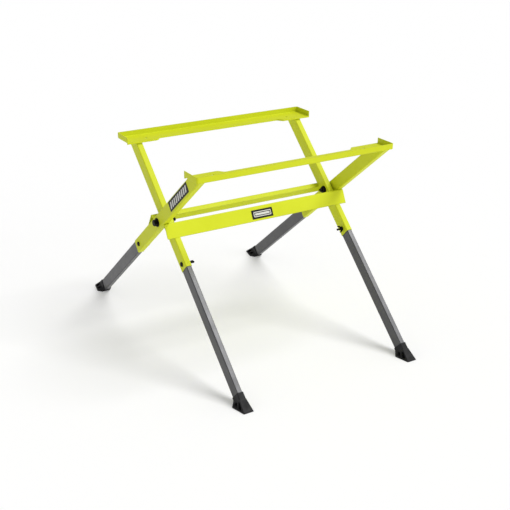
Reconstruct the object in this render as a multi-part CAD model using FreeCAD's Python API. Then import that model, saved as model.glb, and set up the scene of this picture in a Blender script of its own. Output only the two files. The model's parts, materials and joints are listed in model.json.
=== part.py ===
"""Folding X-leg stand for a benchtop table saw.

Two rectangular frames cross at a pair of pivot bolts. The inner frame runs from the
rear top rail down to the front feet, and the outer frame from the front top rail down
to the rear feet. Units are millimetres. X is to the right, Y to the rear, Z up.
The origin is the centre of the bounding box, on the floor.
"""
import math
import os

import FreeCAD
import Part

V = FreeCAD.Vector
X_AXIS = V(1, 0, 0)

# ---- stand ----
PIVOT_Z = 398.0            # pivot bolt above the floor
SEAT_TOP_Z = 592.1         # plane that the saw base rests on
INNER_SLOPE = 42.85        # inner frame's legs, degrees from the floor
OUTER_SLOPE = 39.73        # outer frame's legs, degrees from the floor

# ---- painted arm tubes ----
ARM_DEPTH = 40.0
ARM_WIDTH = 19.0
ARM_RADIUS = 3.0
TUBE_WALL = 1.2
INNER_ARM_X = 279.0        # tube centre from the middle of the stand
OUTER_ARM_X = 302.0
INNER_ARM_LENGTH = 159.6   # from the pivot down to the tube's open end
OUTER_ARM_LENGTH = 203.2

# ---- grey leg tubes, plugged into the arms ----
LEG_DEPTH = 36.6
LEG_WIDTH = 15.8
LEG_RADIUS = 2.4
LEG_OVERLAP = 72.0         # length hidden inside the arm
INNER_NECK = 547.4         # from the pivot down to the foot's collar
OUTER_NECK = 586.5

# ---- top rails ----
RAIL_LENGTH = 640.0
RAIL_SHEET = 2.0
RAIL_HEIGHT = 17.5         # underside of the seat to the top of the flange
RAIL_DEPTH = 55.0          # seat depth along the middle
EAR_DEPTH = 72.0           # seat depth over the arms
EAR_LENGTH = 94.0
EAR_BLEND = 24.0
RAIL_LIP = 3.0             # lip below the seat's underside
RAIL_CORNER = 5.0
RAIL_BEND = 3.0
REAR_RAIL_Y = 239.6        # outer faces, from the pivot
FRONT_RAIL_Y = -266.5
SAW_HOLE_X = 248.0
SAW_HOLE_INSET = 46.0
SAW_HOLE_R = 4.25

# ---- crossbars, bent sheet angles across the arms ----
BAR_HALF_LENGTH = 310.0
BAR_SHEET = 2.0
BAR_RISE = 16.5            # bend above the arm's face
BAR_END = 68.0             # lower edge, from the pivot
BAR_BEND = 4.0
STOP_GAP = 0.3             # bar to the other frame's arm when open

# ---- pivots ----
BOLT_R = 5.0
PIVOT_CLEARANCE = 0.05
BUSH_R = 7.0
SIDE_GAP = 0.3             # running gap beside the outer arm
WASHER_R = 13.0
WASHER_THICKNESS = 2.0
PIVOT_HEAD_AF = 17.0
PIVOT_HEAD_HEIGHT = 10.0
PIVOT_NUT_FLANGE_R = 12.0
PIVOT_NUT_HEIGHT = 9.0
PIVOT_BOLT_TAIL = 6.0

# ---- leg bolts ----
INNER_LEG_BOLT = 142.6     # from the pivot
OUTER_LEG_BOLT = 178.8
LEG_BOLT_R = 3.0
LEG_HEAD_R = 7.0
LEG_HEAD_HEIGHT = 3.5
LEG_BOLT_TAIL = 20.0       # beyond the arm's inner face
TAIL_CHAMFER = 0.8

# ---- wing nuts on the leg bolts ----
HUB_HEIGHT = 7.0
HUB_BASE_R = 5.8
HUB_TOP_R = 4.6
WING_REACH = 11.6          # from the bolt's axis
WING_HEIGHT = 13.4
WING_THICKNESS = 2.6
WING_TURN = {-1: 90.0, 1: 0.0}   # degrees from along the leg, left and right

# ---- moulded feet ----
COLLAR_DEPTH = 40.0
COLLAR_WIDTH = 19.4
COLLAR_RADIUS = 2.0
COLLAR_LENGTH = 20.0       # along the leg's upper face
COLLAR_CLEAR = 5.5         # its lowest corner above the floor
SOCKET_DEPTH = 11.0
SOLE_HEEL = 28.0           # from the leg axis at the floor
SOLE_TOE = 32.0
SOLE_WIDEST = 13.5         # on the heel side of the leg axis
SOLE_END_HALF = 14.6
SOLE_MAX_HALF = 25.0
SOLE_EDGE = 3.0            # upright rim round the sole
POCKET_CORE_HALF = 3.0     # solid web left between the pockets of the two sides
# Pocket corners: distance towards the toe from the leg axis, and height.
HEEL_POCKET = [(-12.5, 5.0), (2.2, 4.6), (-7.5, 13.4), (-16.5, 13.0)]
MIDDLE_POCKET = [(6.5, 4.0), (18.0, 4.0), (18.0, 8.5), (2.8, 20.5), (-3.5, 19.5)]

# ---- plates ----
BADGE_LENGTH = 72.0
BADGE_HEIGHT = 27.0
BADGE_THICKNESS = 0.8
BADGE_X = 8.0
BADGE_DROP = 25.8          # centre below the bar's bend, along its front face
LABEL_LENGTH = 145.0
LABEL_HEIGHT = 29.0
LABEL_THICKNESS = 0.4
LABEL_CENTRE = -183.0      # along the arm from the pivot
LABEL_OFFSET = 2.0         # above the arm's centre line

SIDES = {"left": -1, "right": 1}


class Frame:
    """One of the two crossing frames, with its own slope, width and direction."""

    def __init__(self, slope, arm_x, arm_length, leg_bolt, neck, faces_front):
        self.slope = slope
        self.arm_x = arm_x
        self.arm_length = arm_length
        self.leg_bolt = leg_bolt
        self.neck = neck
        self.faces_front = faces_front

    def turn(self, shape):
        """Face a shape built towards the rear the way this frame's feet point."""
        if self.faces_front:
            shape.rotate(V(0, 0, 0), V(0, 0, 1), 180)
        return shape

    def tilt(self, shape):
        """Lay a shape built on the leg's own axes, +Y down the leg, along the leg."""
        shape.rotate(V(0, 0, 0), X_AXIS, -self.slope)
        return self.turn(shape)

    def x(self, side):
        """X of an arm before the frame is turned."""
        return self.arm_x * side * (-1 if self.faces_front else 1)

    def outward(self, side):
        """Direction away from the middle of the stand before the frame is turned."""
        return side * (-1 if self.faces_front else 1)


INNER = Frame(INNER_SLOPE, INNER_ARM_X, INNER_ARM_LENGTH, INNER_LEG_BOLT, INNER_NECK, True)
OUTER = Frame(OUTER_SLOPE, OUTER_ARM_X, OUTER_ARM_LENGTH, OUTER_LEG_BOLT, OUTER_NECK, False)


# ---- small geometry helpers ----
def box(x0, x1, y0, y1, z0, z1):
    """Box between two corners."""
    return Part.makeBox(x1 - x0, y1 - y0, z1 - z0, V(x0, y0, z0))


def rod(radius, x0, x1, y=0.0, z=0.0):
    """Solid cylinder along X."""
    return Part.makeCylinder(radius, x1 - x0, V(x0, y, z), X_AXIS)


def edges_where(shape, test):
    """Edges whose two end points and middle all pass the test."""
    found = []
    for edge in shape.Edges:
        first, last = edge.ParameterRange
        points = [edge.valueAt(t) for t in (first, (first + last) / 2, last)]
        if all(test(p) for p in points):
            found.append(edge)
    return found


def bar_stock(width, depth, radius, y0, y1):
    """Solid rectangular bar along Y with rounded long edges."""
    stock = box(-width / 2, width / 2, y0, y1, -depth / 2, depth / 2)
    corners = [e for e in stock.Edges if abs(e.tangentAt(0).y) > 0.99]
    return stock.makeFillet(radius, corners)


def tube_stock(width, depth, radius, wall, y0, y1):
    """Hollow rectangular tube along Y, open at both ends."""
    core = bar_stock(width - 2 * wall, depth - 2 * wall, radius - wall, y0 - 1, y1 + 1)
    return bar_stock(width, depth, radius, y0, y1).cut(core)


def hexagon(across_flats, x0, x1, chamfered_end, y=0.0, z=0.0):
    """Hexagonal prism along X with its corners chamfered at one end."""
    corner_r = across_flats / math.sqrt(3)
    points = []
    for k in range(7):
        angle = math.radians(60 * k)
        points.append(V(x0, y + corner_r * math.cos(angle), z + corner_r * math.sin(angle)))
    prism = Part.Face(Part.makePolygon(points)).extrude(V(x1 - x0, 0, 0))
    blank = rod(corner_r, x0, x1, y, z)
    rim = [e for e in blank.Edges if e.Closed and abs(e.CenterOfMass.x - chamfered_end) < 0.01]
    return prism.common(blank.makeChamfer(corner_r * 0.14, rim))


# ---- arms and legs ----
def arm(frame, side):
    """Painted tube from under the seat, past the pivot, to its open lower end."""
    top = 1.5 * PIVOT_Z
    shape = tube_stock(ARM_WIDTH, ARM_DEPTH, ARM_RADIUS, TUBE_WALL, -top, frame.arm_length)
    shape = shape.cut(rod(BUSH_R, -ARM_WIDTH, ARM_WIDTH))
    shape = shape.cut(rod(LEG_BOLT_R, -ARM_WIDTH, ARM_WIDTH, frame.leg_bolt))
    shape.translate(V(frame.x(side), 0, 0))
    shape = frame.tilt(shape)
    underside = SEAT_TOP_Z - RAIL_SHEET - PIVOT_Z
    return shape.cut(box(-500, 500, -900, 900, underside, 900))


def leg(frame, side):
    """Grey tube from inside the arm down into the foot's socket."""
    start = frame.arm_length - LEG_OVERLAP
    end = frame.neck + SOCKET_DEPTH
    shape = tube_stock(LEG_WIDTH, LEG_DEPTH, LEG_RADIUS, TUBE_WALL, start, end)
    shape = shape.cut(rod(LEG_BOLT_R, -ARM_WIDTH, ARM_WIDTH, frame.leg_bolt))
    shape.translate(V(frame.x(side), 0, 0))
    return frame.tilt(shape)


def leg_bolt(frame, side):
    """Round-headed bolt through arm and leg, head outside and a long tail inside."""
    half = ARM_WIDTH / 2
    tail = half + LEG_BOLT_TAIL
    head = rod(LEG_HEAD_R, half, half + LEG_HEAD_HEIGHT)
    rim = [e for e in head.Edges if e.Closed and e.CenterOfMass.x > half + 0.1]
    shape = head.makeFillet(LEG_HEAD_HEIGHT * 0.6, rim)
    socket = hexagon(4.0, half + 1.0, half + LEG_HEAD_HEIGHT + 1, half + 1.0)
    shank = rod(LEG_BOLT_R, -tail, half + 0.5)
    end = [e for e in shank.Edges if e.Closed and e.CenterOfMass.x < -tail + 0.1]
    shape = shape.cut(socket).fuse(shank.makeChamfer(TAIL_CHAMFER, end))
    return place_across(shape, frame, side, frame.leg_bolt)


def wing():
    """Flat wing along +Y that rises from the hub's foot, standing off the face at x = 0."""
    reach = WING_REACH
    top = WING_HEIGHT
    # Outline from the hub out to the tip and back: distance from the axis, and height.
    corners = [(2.0, 1.2), (reach * 0.52, 1.2), (reach * 0.86, top * 0.45), (reach, top * 0.75),
               (reach * 0.97, top), (reach * 0.78, top), (reach * 0.66, top * 0.75),
               (4.0, 6.2), (2.0, 6.2)]
    points = [V(-height, r, -WING_THICKNESS / 2) for r, height in corners]
    plate = Part.Face(Part.makePolygon(points + points[:1])).extrude(V(0, 0, WING_THICKNESS))
    outer = edges_where(plate, lambda p: p.y > reach * 0.7)
    tips = [e for e in outer if abs(e.tangentAt(0).z) > 0.99]
    return plate.makeFillet(1.0, tips)


def leg_nut(frame, side):
    """Wing nut on the inner face of the arm."""
    shape = Part.makeCone(HUB_BASE_R, HUB_TOP_R, HUB_HEIGHT, V(0, 0, 0), V(-1, 0, 0))
    for angle in (0, 180):
        blade = wing()
        blade.rotate(V(0, 0, 0), X_AXIS, angle)
        shape = shape.fuse(blade)
    shape = shape.cut(rod(LEG_BOLT_R, -WING_HEIGHT - 1, 1))
    shape.rotate(V(0, 0, 0), X_AXIS, WING_TURN[side])
    shape.translate(V(-ARM_WIDTH / 2, 0, 0))
    return place_across(shape, frame, side, frame.leg_bolt)


def place_across(shape, frame, side, distance):
    """Put hardware built along +X, head outwards, through an arm."""
    if frame.outward(side) < 0:
        shape.rotate(V(0, 0, 0), V(0, 1, 0), 180)
    shape.translate(V(frame.x(side), distance, 0))
    return frame.tilt(shape)


# ---- crossbars ----
def bar_bend():
    """Distance of the bar's bend from the pivot, so its top flange meets the other arm."""
    crossing = math.radians(INNER_SLOPE + OUTER_SLOPE)
    reach = ARM_DEPTH / 2 + STOP_GAP
    height = ARM_DEPTH / 2 + BAR_RISE
    return (reach + height * math.cos(crossing)) / math.sin(crossing)


def bar_profile(inset):
    """Corners of the bar's section: flange foot, bend, lower edge, moved in by inset."""
    crossing = math.radians(INNER_SLOPE + OUTER_SLOPE)
    base = ARM_DEPTH / 2
    bend = bar_bend()
    foot = bend - BAR_RISE / math.tan(crossing)
    slope = math.atan2(BAR_RISE, BAR_END - bend)
    foot_in = foot + inset / math.sin(crossing)
    end_in = BAR_END - inset / math.sin(slope)
    height = (end_in - foot_in) / (1 / math.tan(crossing) + 1 / math.tan(slope))
    return (foot_in, base), (foot_in + height / math.tan(crossing), base + height), (end_in, base)


def bar_prism(inset, radius, x0, x1):
    """Three-sided prism under the bar, with its bend rounded."""
    corners = bar_profile(inset)
    points = [V(x0, u, n) for u, n in corners]
    prism = Part.Face(Part.makePolygon(points + points[:1])).extrude(V(x1 - x0, 0, 0))
    top = corners[1]
    bend = edges_where(prism, lambda p: abs(p.y - top[0]) + abs(p.z - top[1]) < 0.01)
    return prism.makeFillet(radius, bend)


def crossbar(frame):
    """Bent sheet angle, both free edges on the arms, that also stops the other frame."""
    outer = bar_prism(0.0, BAR_BEND, -BAR_HALF_LENGTH, BAR_HALF_LENGTH)
    void = bar_prism(BAR_SHEET, BAR_BEND - BAR_SHEET, -BAR_HALF_LENGTH - 1, BAR_HALF_LENGTH + 1)
    return frame.tilt(outer.cut(void))


def badge():
    """Blank name plate on the front face of the front crossbar."""
    slope = math.atan2(BAR_RISE, BAR_END - bar_bend())
    plate = box(-BADGE_LENGTH / 2, BADGE_LENGTH / 2, -BADGE_HEIGHT / 2, BADGE_HEIGHT / 2,
                0, BADGE_THICKNESS)
    corners = [e for e in plate.Edges if abs(e.tangentAt(0).z) > 0.99]
    plate = plate.makeFillet(1.5, corners)
    plate.translate(V(-BADGE_X, BADGE_DROP, 0))
    plate.rotate(V(0, 0, 0), X_AXIS, -math.degrees(slope))
    plate.translate(V(0, bar_bend(), ARM_DEPTH / 2 + BAR_RISE))
    return INNER.tilt(plate)


def arm_label():
    """Blank label on the outer face of the outer frame's left arm."""
    face = -OUTER_ARM_X - ARM_WIDTH / 2
    plate = box(face - LABEL_THICKNESS, face, LABEL_CENTRE - LABEL_LENGTH / 2,
                LABEL_CENTRE + LABEL_LENGTH / 2, LABEL_OFFSET - LABEL_HEIGHT / 2,
                LABEL_OFFSET + LABEL_HEIGHT / 2)
    return OUTER.tilt(plate)


# ---- top rails ----
def rail_outline(inner_offset, side_offset, outer_offset):
    """Seat outline, deeper over the arms, with its outer edge at y = -outer_offset."""
    half = RAIL_LENGTH / 2 - side_offset
    outer = -outer_offset
    ear = -EAR_DEPTH + inner_offset
    middle = -RAIL_DEPTH + inner_offset
    x_ear = RAIL_LENGTH / 2 - EAR_LENGTH
    x_mid = x_ear - EAR_BLEND
    x_half = (x_ear + x_mid) / 2
    edges = []
    for side in (1, -1):
        curve = Part.BezierCurve()
        curve.setPoles([V(side * x_ear, ear, 0), V(side * x_half, ear, 0),
                        V(side * x_half, middle, 0), V(side * x_mid, middle, 0)])
        edges.append(curve.toShape())
        edges.append(Part.makeLine(V(side * half, ear, 0), V(side * x_ear, ear, 0)))
        edges.append(Part.makeLine(V(side * half, outer, 0), V(side * half, ear, 0)))
    edges.append(Part.makeLine(V(-x_mid, middle, 0), V(x_mid, middle, 0)))
    edges.append(Part.makeLine(V(-half, outer, 0), V(half, outer, 0)))
    return Part.Face(Part.Wire(Part.__sortEdges__(edges)))


def tray(inner_offset, offset, corner, bend, z0, z1):
    """Seat outline raised to a block, rounded along its outer edge and both ends."""
    block = rail_outline(inner_offset, offset, offset).extrude(V(0, 0, z1 - z0))
    block.translate(V(0, 0, z0))
    half = RAIL_LENGTH / 2 - offset
    uprights = edges_where(block, lambda p: abs(abs(p.x) - half) < 0.01
                           and abs(p.y + offset) < 0.01)
    block = block.makeFillet(corner, uprights)
    reach = -EAR_DEPTH + inner_offset + 0.01
    rim = edges_where(block, lambda p: abs(p.z - z0) < 0.01 and
                      (abs(p.y + offset) < corner + 0.01 or abs(p.x) > half - 0.01))
    rim = [e for e in rim if e.CenterOfMass.y > reach]
    return block.makeFillet(bend, rim)


def rail(rear):
    """Pressed top rail: seat, upturned flanges outside and at both ends, small lip."""
    sheet = RAIL_SHEET
    body = tray(0.0, 0.0, RAIL_CORNER, RAIL_BEND, 0.0, RAIL_HEIGHT)
    hollow = tray(-5.0, sheet, RAIL_CORNER - sheet, RAIL_BEND - sheet, sheet, RAIL_HEIGHT + 5)
    body = body.cut(hollow)
    lip = rail_outline(0.0, 0.0, 0.0).extrude(V(0, 0, RAIL_LIP + sheet / 2))
    lip = lip.cut(rail_outline(sheet, -5.0, -5.0).extrude(V(0, 0, RAIL_LIP + sheet)))
    lip.translate(V(0, 0, -RAIL_LIP))
    body = body.fuse(lip).removeSplitter()
    for x in (-SAW_HOLE_X, SAW_HOLE_X):
        drill = Part.makeCylinder(SAW_HOLE_R, 3 * sheet, V(x, -SAW_HOLE_INSET, -sheet))
        body = body.cut(drill)
    if not rear:
        body.rotate(V(0, 0, 0), V(0, 0, 1), 180)
    body.translate(V(0, REAR_RAIL_Y if rear else FRONT_RAIL_Y, SEAT_TOP_Z - sheet - PIVOT_Z))
    return body


# ---- feet ----
def sole_outline(centre, x, height):
    """Six-sided outline, narrow at heel and toe, at a height above the floor."""
    corners = [(-SOLE_END_HALF, -SOLE_HEEL), (-SOLE_MAX_HALF, -SOLE_WIDEST),
               (-SOLE_END_HALF, SOLE_TOE), (SOLE_END_HALF, SOLE_TOE),
               (SOLE_MAX_HALF, -SOLE_WIDEST), (SOLE_END_HALF, -SOLE_HEEL)]
    points = [V(x + dx, centre + dy, height - PIVOT_Z) for dx, dy in corners]
    return Part.makePolygon(points + points[:1])


def collar_ends(frame):
    """Where the collar ends on the leg's under and upper faces, from the pivot."""
    angle = math.radians(frame.slope)
    drop = PIVOT_Z - COLLAR_CLEAR - COLLAR_DEPTH / 2 * math.cos(angle)
    return drop / math.sin(angle), frame.neck + COLLAR_LENGTH


def collar_outline(frame, x):
    """Six-sided section at the collar's slanting lower end, matching the sole's corners."""
    half_w = COLLAR_WIDTH / 2
    half_d = COLLAR_DEPTH / 2
    corners = [(-half_w, -half_d), (-half_w, -half_d * 0.45), (-half_w, half_d),
               (half_w, half_d), (half_w, -half_d * 0.45), (half_w, -half_d)]
    angle = math.radians(frame.slope)
    under, upper = collar_ends(frame)
    points = []
    for dx, n in corners:
        distance = under + (upper - under) * (n + half_d) / COLLAR_DEPTH
        y = distance * math.cos(angle) + n * math.sin(angle)
        z = -distance * math.sin(angle) + n * math.cos(angle)
        points.append(V(x + dx, y, z))
    return Part.makePolygon(points + points[:1])


def collar_stock(frame):
    """Block of the collar on the leg's own axes, square at the neck and slanting below."""
    under, upper = collar_ends(frame)
    half = COLLAR_DEPTH / 2
    stock = bar_stock(COLLAR_WIDTH, COLLAR_DEPTH, COLLAR_RADIUS, frame.neck, upper + 1)
    points = [V(-COLLAR_WIDTH, frame.neck - 1, -half), V(-COLLAR_WIDTH, under, -half),
              V(-COLLAR_WIDTH, upper, half), V(-COLLAR_WIDTH, frame.neck - 1, half)]
    side = Part.Face(Part.makePolygon(points + points[:1]))
    return stock.common(side.extrude(V(2 * COLLAR_WIDTH, 0, 0)))


def foot_pocket(corners, x, centre, outward):
    """Moulded pocket open to one side of the foot."""
    start = x + outward * POCKET_CORE_HALF
    points = [V(start, centre + dy, height - PIVOT_Z) for dy, height in corners]
    face = Part.Face(Part.makePolygon(points + points[:1]))
    return face.extrude(V(outward * (SOLE_MAX_HALF + 5), 0, 0))


def foot(frame, side):
    """Black moulded foot: a collar round the leg that flares into a flat sole."""
    x = frame.x(side)
    centre = PIVOT_Z / math.tan(math.radians(frame.slope))
    flare = Part.makeLoft([collar_outline(frame, x), sole_outline(centre, x, SOLE_EDGE)],
                          True, True)
    sole = Part.Face(sole_outline(centre, x, 0.0)).extrude(V(0, 0, SOLE_EDGE))
    flare = flare.fuse(sole)
    for outward in (-1, 1):
        for corners in (HEEL_POCKET, MIDDLE_POCKET):
            flare = flare.cut(foot_pocket(corners, x, centre, outward))
    collar = collar_stock(frame)
    socket = bar_stock(LEG_WIDTH, LEG_DEPTH, LEG_RADIUS, frame.neck - 1,
                       frame.neck + SOCKET_DEPTH)
    for piece in (collar, socket):
        piece.translate(V(x, 0, 0))
        piece.rotate(V(0, 0, 0), X_AXIS, -frame.slope)
    return frame.turn(flare.fuse(collar).cut(socket).removeSplitter())


# ---- pivot hardware, built for the right side with its head outwards ----
def mirrored(shape, side):
    """Right-hand hardware, or its mirror image on the left."""
    return shape if side > 0 else shape.mirror(V(0, 0, 0), X_AXIS)


def pivot_stack():
    """X positions along the right pivot, from the middle of the stand outwards."""
    nut = INNER_ARM_X - ARM_WIDTH / 2
    inner_face = INNER_ARM_X + ARM_WIDTH / 2
    outer_start = OUTER_ARM_X - ARM_WIDTH / 2
    outer_face = OUTER_ARM_X + ARM_WIDTH / 2
    return nut, inner_face, outer_start, outer_face


def pivot_bolt(side):
    """Hexagon-headed pivot bolt through both arms."""
    nut_face = pivot_stack()[0]
    head = pivot_stack()[3] + SIDE_GAP + WASHER_THICKNESS
    end = head + PIVOT_HEAD_HEIGHT
    shape = hexagon(PIVOT_HEAD_AF, head, end, end)
    shank = rod(BOLT_R, nut_face - PIVOT_NUT_HEIGHT - PIVOT_BOLT_TAIL, head + 1)
    return mirrored(shape.fuse(shank), side)


def pivot_washer(side):
    """Large washer under the bolt's head."""
    start = pivot_stack()[3] + SIDE_GAP
    shape = rod(WASHER_R, start, start + WASHER_THICKNESS)
    shape = shape.cut(rod(BOLT_R, start - 1, start + WASHER_THICKNESS + 1))
    return mirrored(shape, side)


def pivot_spacer(side):
    """Spacer washer that keeps the two arms apart."""
    inner_face, outer_start = pivot_stack()[1:3]
    shape = rod(WASHER_R, inner_face, outer_start - SIDE_GAP)
    return mirrored(shape.cut(rod(BOLT_R, inner_face - 1, outer_start)), side)


def pivot_nut(side):
    """Flanged lock nut against the inner arm."""
    face = pivot_stack()[0]
    end = face - PIVOT_NUT_HEIGHT
    shape = rod(PIVOT_NUT_FLANGE_R, face - WASHER_THICKNESS, face)
    shape = shape.fuse(hexagon(PIVOT_HEAD_AF, end, face - WASHER_THICKNESS / 2, end))
    return mirrored(shape.cut(rod(BOLT_R, end - 1, face + 1)), side)


def bush(arm_x, bore, side):
    """Sleeve across an arm that carries the pivot bolt."""
    x0 = arm_x - ARM_WIDTH / 2
    x1 = arm_x + ARM_WIDTH / 2
    return mirrored(rod(BUSH_R, x0, x1).cut(rod(bore, x0 - 1, x1 + 1)), side)


# ---- the stand ----
def build():
    """All pieces by name, around the pivot axis."""
    parts = {
        "rear_top_rail": rail(True),
        "front_top_rail": rail(False),
        "front_crossbar": crossbar(INNER),
        "rear_crossbar": crossbar(OUTER),
        "badge_plate": badge(),
        "arm_label": arm_label(),
    }
    for name, side in SIDES.items():
        parts["inner_arm_" + name] = arm(INNER, side)
        parts["outer_arm_" + name] = arm(OUTER, side)
        parts["inner_bush_" + name] = bush(INNER_ARM_X, BOLT_R, side)
        parts["outer_bush_" + name] = bush(OUTER_ARM_X, BOLT_R + PIVOT_CLEARANCE, side)
        parts["pivot_bolt_" + name] = pivot_bolt(side)
        parts["pivot_washer_" + name] = pivot_washer(side)
        parts["pivot_spacer_" + name] = pivot_spacer(side)
        parts["pivot_nut_" + name] = pivot_nut(side)
        for end, frame in (("front", INNER), ("rear", OUTER)):
            parts[end + "_leg_" + name] = leg(frame, side)
            parts[end + "_foot_" + name] = foot(frame, side)
            parts[end + "_leg_bolt_" + name] = leg_bolt(frame, side)
            parts[end + "_leg_nut_" + name] = leg_nut(frame, side)
    return parts


def pivot_y():
    """Y of the pivot that centres the stand between its front and rear toes."""
    front = PIVOT_Z / math.tan(math.radians(INNER_SLOPE)) + SOLE_TOE
    rear = PIVOT_Z / math.tan(math.radians(OUTER_SLOPE)) + SOLE_TOE
    return (front - rear) / 2


def main():
    """Write one STEP file for each piece."""
    os.makedirs("parts", exist_ok=True)
    for name, shape in build().items():
        shape.translate(V(0, pivot_y(), PIVOT_Z))
        shape.exportStep("parts/" + name + ".step")
        print(name, shape.isValid(), len(shape.Solids), round(shape.Volume))


main()
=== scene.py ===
"""Looks of the folding saw stand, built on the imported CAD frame. Metres, Z up."""
import json
import math

import bmesh
import bpy
from mathutils import Matrix, Vector


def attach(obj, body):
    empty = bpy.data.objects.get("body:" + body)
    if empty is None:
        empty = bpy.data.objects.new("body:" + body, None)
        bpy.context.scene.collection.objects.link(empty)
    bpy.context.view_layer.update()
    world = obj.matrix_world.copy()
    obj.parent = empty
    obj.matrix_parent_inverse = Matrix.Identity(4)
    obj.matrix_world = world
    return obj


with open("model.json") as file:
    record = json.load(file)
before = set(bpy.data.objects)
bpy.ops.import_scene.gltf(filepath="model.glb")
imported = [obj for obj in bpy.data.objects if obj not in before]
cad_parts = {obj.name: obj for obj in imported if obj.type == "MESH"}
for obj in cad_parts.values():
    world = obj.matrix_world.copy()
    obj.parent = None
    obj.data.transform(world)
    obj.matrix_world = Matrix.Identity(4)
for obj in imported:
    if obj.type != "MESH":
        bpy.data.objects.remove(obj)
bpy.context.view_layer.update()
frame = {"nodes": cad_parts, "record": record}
nodes = frame["nodes"]

# ---- view of the photograph ----
EYE = Vector((-1.40375, -2.37016, 1.37503))
YAW = math.radians(31.20)
PITCH = math.radians(22.71)
ROLL = math.radians(0.33)
LENS = 67.71
SENSOR = 36.0

# ---- sizes the CAD model also uses, in metres ----
PIVOT = Vector((0.0, -0.024917, 0.398))
INNER_SLOPE = math.radians(42.85)
OUTER_SLOPE = math.radians(39.73)
INNER_ARM_X = 0.279
OUTER_ARM_X = 0.302
ARM_WIDTH = 0.019
ARM_DEPTH = 0.040
SEAT_UNDERSIDE = 0.5901
BAR_FOOT = 0.0230          # foot of the crossbar's top flange, from the pivot
BAR_END = 0.068            # lower edge of the crossbar, from the pivot
INNER_LEG_BOLT = 0.1426    # from the pivot
OUTER_LEG_BOLT = 0.1788
LEG_BOLT_R = 0.003
LEG_BOLT_TAIL = 0.020      # beyond the arm's inner face

# ---- weld beads, in metres ----
BEAD_SIZE = 0.0012         # radius
BEAD_SIDES = 10
BEAD_STEP = 0.0006
BEAD_RIPPLE_DEPTH = 0.10   # part of the radius
BEAD_RIPPLE_SPACING = 0.0024
BEAD_INSET = 0.003         # from the edges of the arm's face
BEAD_GAP = 0.0002          # from the crossbar's edges

# ---- bolt threads, in metres ----
THREAD_PITCH = 0.0010
THREAD_DEPTH = 0.00032
THREAD_STEPS = 20          # per turn
THREAD_END_GAP = 0.0012    # plain tip of the bolt
THREAD_START = 0.0145      # from the arm's inner face, past the wing nut's tips

# ---- prints on the badge and the label, in metres ----
PRINT_SINK = 0.00005       # into the plate
BADGE_PRINT_HEIGHT = 0.00022
BADGE_FRAME = (0.0600, 0.0160, 0.0030)       # width, height and corner radius
BADGE_FRAME_HOLE = (0.0552, 0.0112, 0.0010)
BADGE_BAR = (0.0500, 0.0064, 0.0016)
STRIPE_COUNT = 9
STRIPE_SPACING = 0.0145
STRIPE_WIDTH = 0.0080
STRIPE_HEIGHT = 0.0180
STRIPE_LEAN = 0.0070
STRIPE_PRINT_HEIGHT = 0.0002

# ---- studio ----
FLOOR_REACH = 30.0
FLOOR_COLOUR = (0.80, 0.80, 0.80, 1)
FLOOR_GLOW = 0.19
WHITE = (1, 1, 1, 1)
WORLD_STRENGTH = 0.45


def add_camera():
    """Camera at the photograph's place and angle."""
    forward = Vector((math.sin(YAW) * math.cos(PITCH), math.cos(YAW) * math.cos(PITCH),
                      -math.sin(PITCH)))
    right = Vector((math.cos(YAW), -math.sin(YAW), 0))
    up = right.cross(forward)
    side = math.cos(ROLL) * right + math.sin(ROLL) * up
    top = -math.sin(ROLL) * right + math.cos(ROLL) * up
    data = bpy.data.cameras.new("camera")
    data.lens = LENS
    data.sensor_width = SENSOR
    data.clip_end = 50
    camera = bpy.data.objects.new("camera", data)
    bpy.context.collection.objects.link(camera)
    turn = Matrix((side, top, -forward)).transposed()
    camera.matrix_world = Matrix.Translation(EYE) @ turn.to_4x4()
    bpy.context.scene.camera = camera


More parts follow.
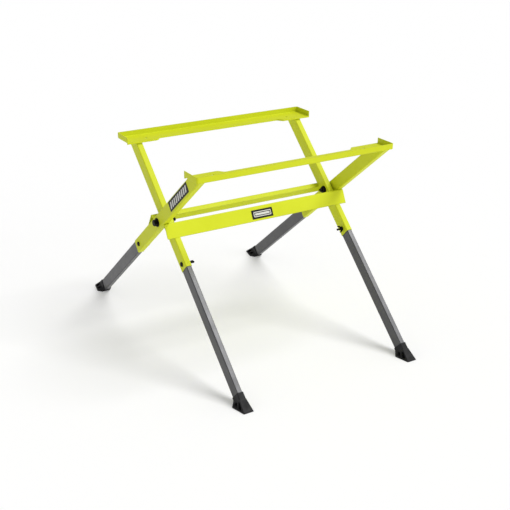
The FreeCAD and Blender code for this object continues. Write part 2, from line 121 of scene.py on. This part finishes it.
# ---- node helpers ----
class Nodes:
    """Short names for building one material."""

    def __init__(self, name):
        self.material = bpy.data.materials.new(name)
        self.material.use_nodes = True
        self.tree = self.material.node_tree
        self.shader = self.tree.nodes["Principled BSDF"]
        self.where = self.new("ShaderNodeTexCoord").outputs["Object"]

    def new(self, kind, **settings):
        node = self.tree.nodes.new(kind)
        for key, value in settings.items():
            setattr(node, key, value)
        return node

    def link(self, a, b):
        self.tree.links.new(a, b)

    def noise(self, scale, detail=4.0, rough=0.55):
        """Noise factor, 0 to 1, at a scale in features per metre."""
        node = self.new("ShaderNodeTexNoise")
        node.inputs["Scale"].default_value = scale
        node.inputs["Detail"].default_value = detail
        node.inputs["Roughness"].default_value = rough
        self.link(self.where, node.inputs["Vector"])
        return node.outputs["Fac"]

    def remap(self, value, low, high, to_low=0.0, to_high=1.0):
        """Value from low to high, stretched over another range and held inside it."""
        node = self.new("ShaderNodeMapRange", clamp=True)
        node.inputs["From Min"].default_value = low
        node.inputs["From Max"].default_value = high
        node.inputs["To Min"].default_value = to_low
        node.inputs["To Max"].default_value = to_high
        self.link(value, node.inputs["Value"])
        return node.outputs["Result"]

    def math(self, operation, a, b):
        """Result of one sum; a and b are numbers or sockets."""
        node = self.new("ShaderNodeMath", operation=operation)
        for socket, value in zip(node.inputs, (a, b)):
            if isinstance(value, (int, float)):
                socket.default_value = value
            else:
                self.link(value, socket)
        return node.outputs[0]

    def mix(self, factor, a, b):
        """Colour a, turning to b as the factor rises."""
        node = self.new("ShaderNodeMix", data_type="RGBA")
        for socket, value in ((node.inputs[0], factor), (node.inputs[6], a), (node.inputs[7], b)):
            if hasattr(value, "is_output"):
                self.link(value, socket)
            else:
                socket.default_value = value
        return node.outputs[2]

    def edges(self, radius):
        """Factor that is 1 along convex edges within the radius and 0 elsewhere."""
        bevel = self.new("ShaderNodeBevel", samples=6)
        bevel.inputs["Radius"].default_value = radius
        geometry = self.new("ShaderNodeNewGeometry")
        dot = self.new("ShaderNodeVectorMath", operation="DOT_PRODUCT")
        self.link(bevel.outputs["Normal"], dot.inputs[0])
        self.link(geometry.outputs["Normal"], dot.inputs[1])
        return self.remap(dot.outputs["Value"], 0.995, 0.90)

    def bump(self, height, strength, distance, radius=0.0):
        """Surface normal from a height, with softened edges if a radius is given."""
        node = self.new("ShaderNodeBump")
        node.inputs["Strength"].default_value = strength
        node.inputs["Distance"].default_value = distance
        self.link(height, node.inputs["Height"])
        if radius:
            bevel = self.new("ShaderNodeBevel", samples=6)
            bevel.inputs["Radius"].default_value = radius
            self.link(bevel.outputs["Normal"], node.inputs["Normal"])
        self.link(node.outputs["Normal"], self.shader.inputs["Normal"])


def rgb(red, green, blue):
    """Linear colour from 8-bit sRGB values."""
    values = []
    for value in (red, green, blue):
        c = value / 255
        values.append(((c + 0.055) / 1.055) ** 2.4 if c > 0.04045 else c / 12.92)
    return (*values, 1.0)


# ---- materials ----
def powder_coat(name, base, deep, worn, roughness, peel, edge_radius, gloss, metal):
    """Powder-coated steel: faint orange peel, uneven tone and gloss, and rubbed edges."""
    n = Nodes(name)
    patches = n.remap(n.noise(scale=9.0, detail=3.0), 0.3, 0.7)
    colour = n.mix(patches, base, deep)
    rub = n.math("MULTIPLY", n.edges(edge_radius), n.remap(n.noise(scale=70.0), 0.42, 0.66))
    colour = n.mix(n.math("MULTIPLY", rub, 0.45), colour, worn)
    n.link(colour, n.shader.inputs["Base Color"])
    smears = n.noise(scale=28.0, detail=5.0)
    n.link(n.remap(smears, 0.3, 0.75, to_low=roughness - 0.04, to_high=roughness + 0.07),
           n.shader.inputs["Roughness"])
    n.shader.inputs["Specular IOR Level"].default_value = gloss
    n.shader.inputs["Metallic"].default_value = metal
    n.bump(n.noise(scale=peel, detail=2.0), strength=0.12, distance=0.0004, radius=0.0008)
    return n.material


def moulded_plastic(name, base, scuffed):
    """Black moulded plastic with a fine sparked texture and scuffs on its edges."""
    n = Nodes(name)
    scuff = n.math("MULTIPLY", n.edges(0.0015), n.remap(n.noise(scale=120.0), 0.4, 0.7))
    dust = n.remap(n.noise(scale=18.0, detail=5.0), 0.5, 0.85, to_low=0.0, to_high=0.22)
    colour = n.mix(n.math("MAXIMUM", scuff, dust), base, scuffed)
    n.link(colour, n.shader.inputs["Base Color"])
    n.link(n.remap(n.noise(scale=60.0), 0.3, 0.7, to_low=0.5, to_high=0.68),
           n.shader.inputs["Roughness"])
    n.shader.inputs["Specular IOR Level"].default_value = 0.25
    n.bump(n.noise(scale=1400.0, detail=2.0), strength=0.25, distance=0.0003, radius=0.0010)
    return n.material


def black_oxide(name, base, bright):
    """Blackened steel hardware with bright spots where tools have touched it."""
    n = Nodes(name)
    rub = n.math("MULTIPLY", n.edges(0.0006), n.remap(n.noise(scale=300.0), 0.45, 0.65))
    n.link(n.mix(n.math("MULTIPLY", rub, 0.5), base, bright), n.shader.inputs["Base Color"])
    n.shader.inputs["Specular IOR Level"].default_value = 0.12
    n.link(n.remap(n.noise(scale=200.0), 0.3, 0.7, to_low=0.42, to_high=0.58),
           n.shader.inputs["Roughness"])
    n.bump(n.noise(scale=900.0), strength=0.12, distance=0.0002, radius=0.0004)
    return n.material


def printed_film(name, base, worn):
    """Printed film with light scuffing."""
    n = Nodes(name)
    rub = n.remap(n.noise(scale=90.0, detail=6.0, rough=0.7), 0.62, 0.8, to_low=0.0, to_high=0.5)
    n.link(n.mix(rub, base, worn), n.shader.inputs["Base Color"])
    n.link(n.remap(n.noise(scale=40.0), 0.3, 0.7, to_low=0.42, to_high=0.56),
           n.shader.inputs["Roughness"])
    n.shader.inputs["Specular IOR Level"].default_value = 0.2
    n.bump(n.noise(scale=500.0), strength=0.05, distance=0.0002)
    return n.material


LIME = powder_coat("lime_powder_coat", rgb(211, 219, 40), rgb(206, 214, 32),
                   rgb(150, 152, 120), roughness=0.46, peel=650.0, edge_radius=0.0010,
                   gloss=0.15, metal=0.0)
GREY = powder_coat("grey_powder_coat", rgb(90, 90, 91), rgb(84, 84, 85),
                   rgb(140, 140, 140), roughness=0.38, peel=800.0, edge_radius=0.0008,
                   gloss=0.5, metal=0.85)
FOOT = moulded_plastic("moulded_black", rgb(24, 24, 25), rgb(52, 52, 52))
OXIDE = black_oxide("black_oxide", rgb(10, 9, 10), rgb(62, 60, 58))
FILM = printed_film("printed_film", rgb(16, 15, 13), rgb(44, 43, 40))
PALE = printed_film("printed_pale", rgb(214, 214, 208), rgb(172, 170, 162))

MATERIALS = {"lime_paint": LIME, "grey_paint": GREY, "foot_plastic": FOOT,
             "black_hardware": OXIDE, "badge_black": FILM}


def paint_nodes():
    """Give each CAD node its finish by the record's material slot."""
    for part in frame["record"]["subparts"]:
        obj = nodes[part["node"]]
        material = MATERIALS[part["material_slot"]]
        for slot in obj.material_slots:
            slot.material = material


# ---- geometry helpers ----
def leg_directions(faces_front):
    """Directions of a frame: down its legs, and out of their upper faces."""
    slope = INNER_SLOPE if faces_front else OUTER_SLOPE
    heading = -1 if faces_front else 1
    down = Vector((0, heading * math.cos(slope), -math.sin(slope)))
    normal = Vector((0, heading * math.sin(slope), math.cos(slope)))
    return down, normal


def leg_point(faces_front, x, along, out):
    """Point of a frame from the distance down the leg and out of its upper face."""
    down, normal = leg_directions(faces_front)
    return PIVOT + Vector((x, 0, 0)) + along * down + out * normal


def add_mesh(name, verts, faces, material, smooth=True):
    """Object made from a list of points and faces, with every closed part facing outwards."""
    mesh = bpy.data.meshes.new(name)
    mesh.from_pydata(verts, [], faces)
    shell = bmesh.new()
    shell.from_mesh(mesh)
    bmesh.ops.recalc_face_normals(shell, faces=shell.faces)
    shell.to_mesh(mesh)
    shell.free()
    mesh.materials.append(material)
    for polygon in mesh.polygons:
        polygon.use_smooth = smooth
    mesh.update()
    obj = bpy.data.objects.new(name, mesh)
    bpy.context.collection.objects.link(obj)
    return obj


def swept(rings):
    """Points and faces of a closed tube through rings of equal length, capped at both ends."""
    count = len(rings[0])
    verts = [tuple(p) for ring in rings for p in ring]
    faces = []
    for k in range(len(rings) - 1):
        for i in range(count):
            j = (i + 1) % count
            faces.append((k * count + i, k * count + j, (k + 1) * count + j, (k + 1) * count + i))
    faces.append(tuple(range(count - 1, -1, -1)))
    last = (len(rings) - 1) * count
    faces.append(tuple(last + i for i in range(count)))
    return verts, faces


def joined(parts):
    """Points and faces of several (points, faces) pairs in one list."""
    verts = []
    faces = []
    for part_verts, part_faces in parts:
        start = len(verts)
        verts.extend(part_verts)
        faces.extend(tuple(start + i for i in face) for face in part_faces)
    return verts, faces


# ---- weld beads ----
def bead(start, end, side, lift):
    """Rippled bead of weld metal from start to end, set in the corner of two faces."""
    length = (end - start).length
    steps = max(8, round(length / BEAD_STEP))
    rings = []
    for k in range(steps + 1):
        t = k / steps
        wave = math.cos(2 * math.pi * t * length / BEAD_RIPPLE_SPACING)
        ripple = 1.0 + BEAD_RIPPLE_DEPTH * wave
        taper = min(1.0, 5.0 * min(t, 1 - t) + 0.35)
        radius = BEAD_SIZE * ripple * taper
        centre = start.lerp(end, t)
        ring = []
        for i in range(BEAD_SIDES):
            angle = 2 * math.pi * i / BEAD_SIDES
            ring.append(centre + radius * (math.cos(angle) * side + math.sin(angle) * lift))
        rings.append(ring)
    return swept(rings)


def bar_welds():
    """Beads where each crossbar sits on the two arms that carry it."""
    for faces_front, arm_x, body, name in ((True, INNER_ARM_X, "inner_frame", "front"),
                                           (False, OUTER_ARM_X, "outer_frame", "rear")):
        down, normal = leg_directions(faces_front)
        half = ARM_WIDTH / 2 - BEAD_INSET
        parts = []
        for side in (-1, 1):
            inside = side * (arm_x - half)
            outside = side * (arm_x + half)
            for along in (BAR_FOOT - BEAD_GAP, BAR_END + BEAD_GAP):
                start = leg_point(faces_front, inside, along, ARM_DEPTH / 2)
                end = leg_point(faces_front, outside, along, ARM_DEPTH / 2)
                parts.append(bead(start, end, down, normal))
        verts, faces = joined(parts)
        obj = add_mesh(name + "_bar_welds", verts, faces, LIME)
        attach(obj, body)


def rail_welds():
    """Beads across the arms where they meet the seat's underside."""
    for faces_front, arm_x, body, name in ((True, INNER_ARM_X, "inner_frame", "rear"),
                                           (False, OUTER_ARM_X, "outer_frame", "front")):
        slope = INNER_SLOPE if faces_front else OUTER_SLOPE
        height = SEAT_UNDERSIDE - PIVOT.z
        half = ARM_WIDTH / 2 - BEAD_INSET
        heading = -1 if faces_front else 1
        parts = []
        for out in (-ARM_DEPTH / 2, ARM_DEPTH / 2):
            along = (out * math.cos(slope) - height) / math.sin(slope)
            y = PIVOT.y + heading * (along * math.cos(slope) + out * math.sin(slope))
            for side in (-1, 1):
                start = Vector((side * arm_x - half, y, SEAT_UNDERSIDE))
                end = Vector((side * arm_x + half, y, SEAT_UNDERSIDE))
                parts.append(bead(start, end, Vector((0, 1, 0)), Vector((0, 0, 1))))
        verts, faces = joined(parts)
        obj = add_mesh(name + "_rail_welds", verts, faces, LIME)
        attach(obj, body)


# ---- bolt threads ----
def thread(centre, outward, start, length, radius, pitch):
    """Helical ridge round a bolt along X, from start outwards along the given direction."""
    turns = length / pitch
    steps = max(24, round(turns * THREAD_STEPS))
    rings = []
    for k in range(steps + 1):
        t = k / steps
        angle = 2 * math.pi * turns * t
        x = centre.x + outward * (start + length * t)
        depth = THREAD_DEPTH * min(1.0, 8 * min(t, 1 - t) + 0.1)
        ring = []
        for dx, dr in ((-0.30, -0.10), (0.30, -0.10), (0.0, 1.0)):
            r = radius + depth * dr
            ring.append(Vector((x + dx * pitch, centre.y + r * math.cos(angle),
                                centre.z + r * math.sin(angle))))
        rings.append(ring)
    return swept(rings)


def leg_bolt_threads():
    """Threads on the long tail of each leg bolt."""
    for faces_front, arm_x, along, end, body in (
            (True, INNER_ARM_X, INNER_LEG_BOLT, "front", "inner_frame"),
            (False, OUTER_ARM_X, OUTER_LEG_BOLT, "rear", "outer_frame")):
        for name, side in (("left", -1), ("right", 1)):
            centre = leg_point(faces_front, side * arm_x, along, 0.0)
            first = ARM_WIDTH / 2 + THREAD_START
            length = ARM_WIDTH / 2 + LEG_BOLT_TAIL - THREAD_END_GAP - first
            verts, faces = thread(centre, -side, first, length, LEG_BOLT_R, THREAD_PITCH)
            obj = add_mesh(end + "_leg_thread_" + name, verts, faces, OXIDE, False)
            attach(obj, body)


# ---- prints on the two plates ----
def plate_axes(node):
    """Centre of a plate's outer face, its long and short directions, and its outward normal."""
    obj = nodes[node]
    mesh = obj.data
    biggest = {}
    for polygon in mesh.polygons:
        normal = (obj.matrix_world.to_3x3() @ polygon.normal).normalized()
        key = tuple(round(c, 2) for c in normal)
        biggest[key] = biggest.get(key, 0.0) + polygon.area
    ranked = sorted(biggest, key=lambda k: -biggest[k])[:2]
    # The printed face looks up and forwards on the badge and outwards on the label.
    out = min(ranked, key=lambda k: (k[1] if node == "badge_plate" else k[0]))
    out = Vector(out).normalized()
    points = [obj.matrix_world @ v.co for v in mesh.vertices]
    top = max(p.dot(out) for p in points)
    face = [p for p in points if p.dot(out) > top - 0.0001]
    if node == "badge_plate":
        long = Vector((1, 0, 0))
    else:
        long = Vector((0, math.cos(OUTER_SLOPE), -math.sin(OUTER_SLOPE)))
    short = out.cross(long).normalized()
    long = short.cross(out).normalized()
    spans = [(min(p.dot(a) for p in face), max(p.dot(a) for p in face)) for a in (long, short)]
    centre = long * sum(spans[0]) / 2 + short * sum(spans[1]) / 2 + out * top
    return centre, long, short, out


def raised_shape(outline, hole, axes, height):
    """Thin raised shape on a plate from an outline, with a hole of equal point count if given."""
    centre, long, short, out = axes

    def place(point, level):
        return tuple(centre + point[0] * long + point[1] * short + level * out)

    count = len(outline)
    base = -PRINT_SINK
    if hole is None:
        verts = [place(p, base) for p in outline] + [place(p, height) for p in outline]
        faces = [tuple(range(count - 1, -1, -1)), tuple(range(count, 2 * count))]
        faces += [(i, (i + 1) % count, count + (i + 1) % count, count + i) for i in range(count)]
        return verts, faces
    verts = []
    for loop in (outline, hole):
        verts += [place(p, base) for p in loop] + [place(p, height) for p in loop]
    faces = []
    for i in range(count):
        j = (i + 1) % count
        faces.append((i, j, count + j, count + i))
        faces.append((2 * count + j, 2 * count + i, 3 * count + i, 3 * count + j))
        faces.append((count + i, count + j, 3 * count + j, 3 * count + i))
        faces.append((j, i, 2 * count + i, 2 * count + j))
    return verts, faces


def rounded_rectangle(width, height, radius):
    """Outline of a rectangle with rounded corners."""
    points = []
    for cx, cy, first in ((1, 1, 0), (-1, 1, 90), (-1, -1, 180), (1, -1, 270)):
        for k in range(6):
            angle = math.radians(first + 18 * k)
            points.append((cx * (width / 2 - radius) + radius * math.cos(angle),
                           cy * (height / 2 - radius) + radius * math.sin(angle)))
    return points


def slanted_bar(x, width, height, lean):
    """Outline of an upright bar whose top leans sideways."""
    low, high = -height / 2, height / 2
    return [(x - width / 2 - lean / 2, low), (x + width / 2 - lean / 2, low),
            (x + width / 2 + lean / 2, high), (x - width / 2 + lean / 2, high)]


def badge_print():
    """Plain rounded frame with a bar inside it, raised on the badge."""
    axes = plate_axes("badge_plate")
    parts = [raised_shape(rounded_rectangle(*BADGE_FRAME), rounded_rectangle(*BADGE_FRAME_HOLE),
                          axes, BADGE_PRINT_HEIGHT),
             raised_shape(rounded_rectangle(*BADGE_BAR), None, axes, BADGE_PRINT_HEIGHT)]
    verts, faces = joined(parts)
    obj = add_mesh("badge_print", verts, faces, PALE, False)
    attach(obj, "inner_frame")


def label_print():
    """Even slanted stripes along the arm's label."""
    axes = plate_axes("arm_label")
    parts = []
    for k in range(STRIPE_COUNT):
        x = (k - STRIPE_COUNT // 2) * STRIPE_SPACING
        stripe = slanted_bar(x, STRIPE_WIDTH, STRIPE_HEIGHT, STRIPE_LEAN)
        parts.append(raised_shape(stripe, None, axes, STRIPE_PRINT_HEIGHT))
    verts, faces = joined(parts)
    obj = add_mesh("label_print", verts, faces, PALE, False)
    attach(obj, "outer_frame")


# ---- studio ----
def sun(name, towards, spread, share):
    """Soft light from one direction; share is how much of full white it gives a facing surface."""
    data = bpy.data.lights.new(name, "SUN")
    data.angle = math.radians(spread)
    data.energy = math.pi * share
    light = bpy.data.objects.new(name, data)
    bpy.context.collection.objects.link(light)
    light.rotation_euler = Vector(towards).to_track_quat("Z", "Y").to_euler()


def add_studio():
    """Plain white floor, white surroundings and soft lights."""
    mesh = bpy.data.meshes.new("floor")
    reach = FLOOR_REACH
    mesh.from_pydata([(-reach, -reach, 0), (reach, -reach, 0), (reach, reach, 0),
                      (-reach, reach, 0)], [], [(0, 1, 2, 3)])
    floor = bpy.data.objects.new("floor", mesh)
    bpy.context.collection.objects.link(floor)
    n = Nodes("floor")
    n.shader.inputs["Base Color"].default_value = FLOOR_COLOUR
    n.shader.inputs["Roughness"].default_value = 1.0
    n.shader.inputs["Specular IOR Level"].default_value = 0.0
    n.shader.inputs["Emission Color"].default_value = WHITE
    n.shader.inputs["Emission Strength"].default_value = FLOOR_GLOW
    mesh.materials.append(n.material)
    world = bpy.data.worlds.new("studio")
    world.use_nodes = True
    background = world.node_tree.nodes["Background"]
    background.inputs["Color"].default_value = WHITE
    background.inputs["Strength"].default_value = WORLD_STRENGTH
    bpy.context.scene.world = world
    sun("key", towards=(0.42, -0.27, 0.87), spread=30, share=0.57)
    sun("front", towards=(0.40, -0.86, 0.32), spread=35, share=0.21)


add_camera()
paint_nodes()
bar_welds()
rail_welds()
leg_bolt_threads()
badge_print()
label_print()
add_studio()
bpy.context.scene.view_settings.view_transform = "Standard"
